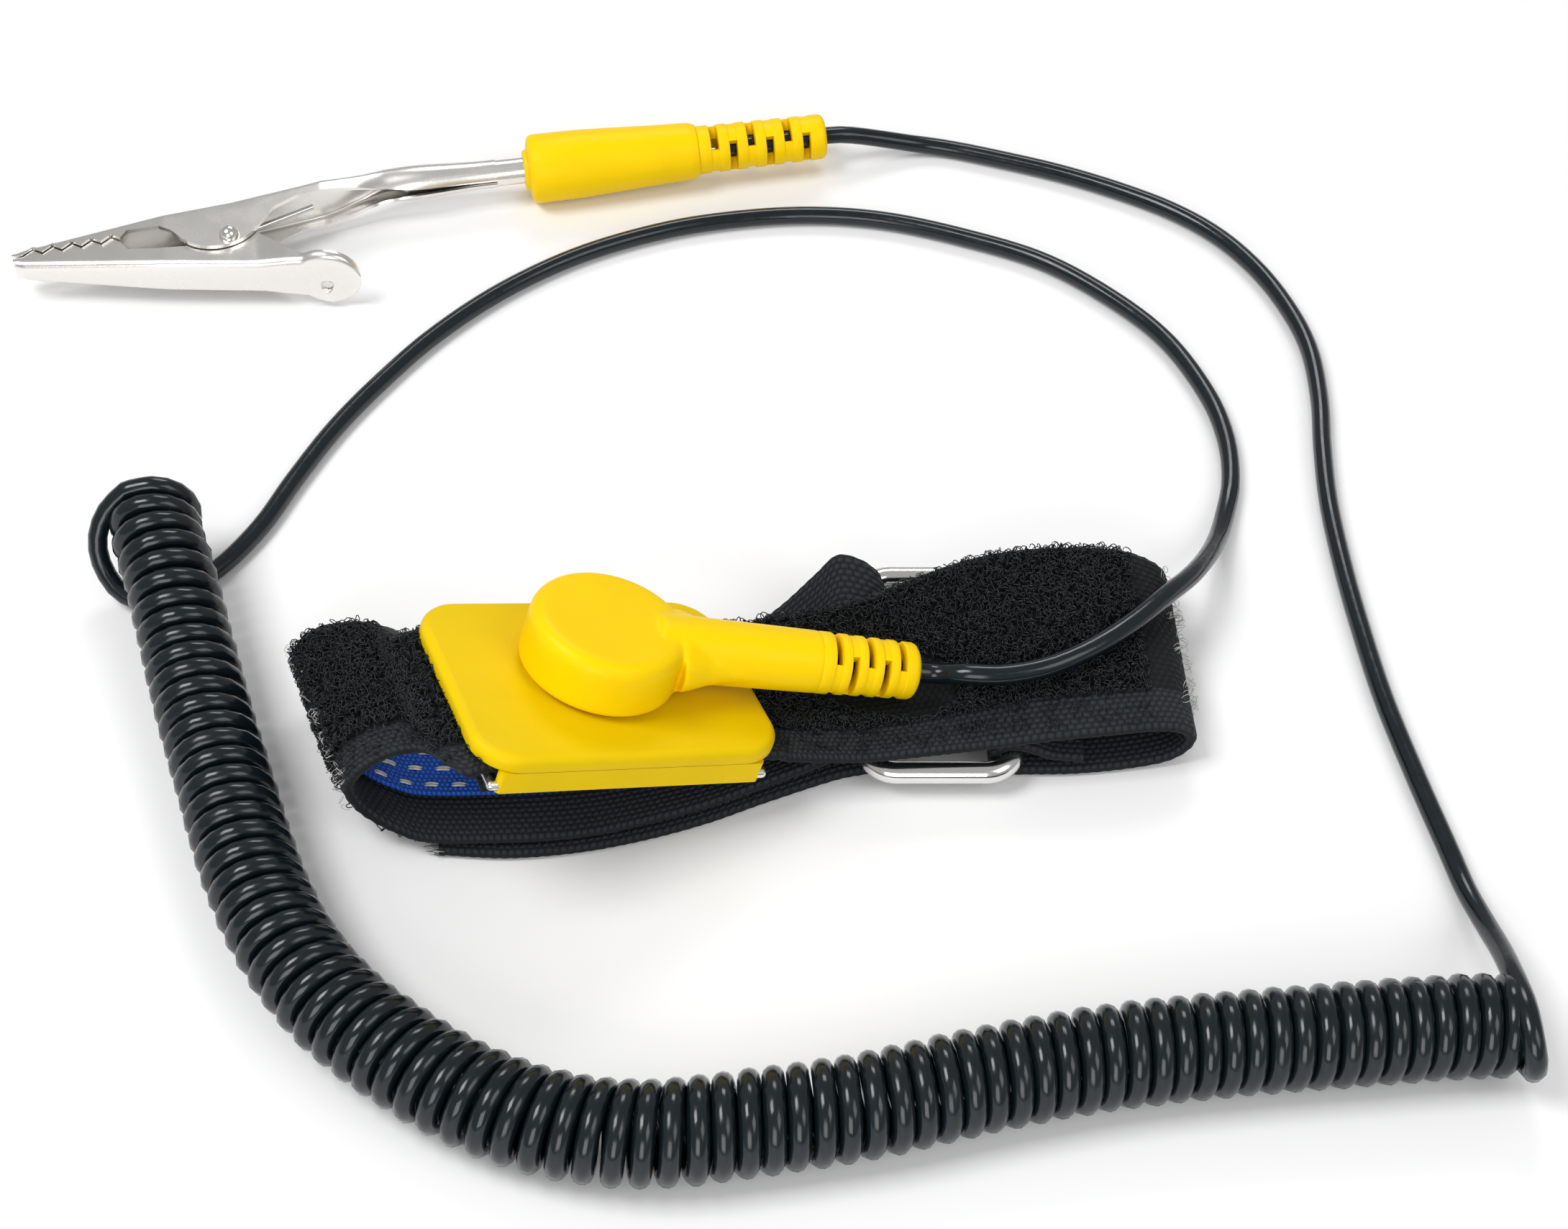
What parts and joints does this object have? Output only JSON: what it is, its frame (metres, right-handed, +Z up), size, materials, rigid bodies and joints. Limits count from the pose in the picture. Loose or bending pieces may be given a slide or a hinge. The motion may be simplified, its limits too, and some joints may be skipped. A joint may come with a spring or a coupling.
{
  "type": "antistatic wrist strap",
  "caption": "Fabric wrist strap with a snap buckle, a coiled earth lead on a snap connector and a sprung crocodile clip on a moulded plug.",
  "frame": {"origin": "middle of the wrist strap's footprint on the table", "axes": "+X along the strap towards the slide ring and the cord exit, +Y away from the front, +Z up from the table"},
  "size_m": [0.1599, 0.1458, 0.0232],
  "materials": {
    "yellow_plastic": "satin moulded yellow",
    "nickel": "nickel plated",
    "steel": "plain steel",
    "webbing": "black loop pile with woven edges",
    "conductive_weave": "blue weave with silver threads",
    "hook_tape": "black hooks",
    "cord_jacket": "glossy black",
    "resistor_body": "lacquered"
  },
  "bodies": {
    "wristband": {"buckle_cover": "yellow_plastic", "buckle_base": "yellow_plastic", "contact_plate": "steel", "snap_stud": "nickel", "stud_rivet": "nickel", "bar_left": "nickel", "bar_right": "nickel", "left_band": "webbing", "liner": "conductive_weave", "hook_patch": "hook_tape", "right_band": "webbing", "slide_ring": "nickel", "snap_lead": "cord_jacket", "coil": "cord_jacket", "clip_lead": "cord_jacket", "plug_handle": "yellow_plastic", "plug_pin": "nickel"},
    "socket": {"snap_socket": "nickel", "socket_spring": "nickel"},
    "connector": {"snap_housing": "yellow_plastic", "resistor": "resistor_body", "resistor_wires": "nickel"},
    "clip": {"upper_jaw": "nickel", "jaw_rivet": "nickel", "jaw_spring": "steel"},
    "lower_jaw": {"lower_jaw": "nickel"}
  },
  "joints": [
    {"name": "unsnap", "type": "slide", "parent": "wristband", "child": "socket", "axis": [0.309, 0.2364, 0.9212], "range_m": [0, 0.006]},
    {"name": "snap_swivel", "type": "hinge", "parent": "socket", "child": "connector", "pos_m": [-0.01341, -0.00246, 0.01651], "axis": [0.309, 0.2364, 0.9212], "range_deg": [-8, 2]},
    {"name": "clip_pull", "type": "slide", "parent": "wristband", "child": "clip", "axis": [-0.9848, -0.1736, 0], "range_m": [0, 0.012]},
    {"name": "jaw_open", "type": "hinge", "parent": "clip", "child": "lower_jaw", "pos_m": [-0.06108, 0.06881, 0.0042], "axis": [0, 0, 1], "range_deg": [0, 20], "stiffness_Nm_per_rad": 0.08, "springref_deg": -20.05}
  ]
}
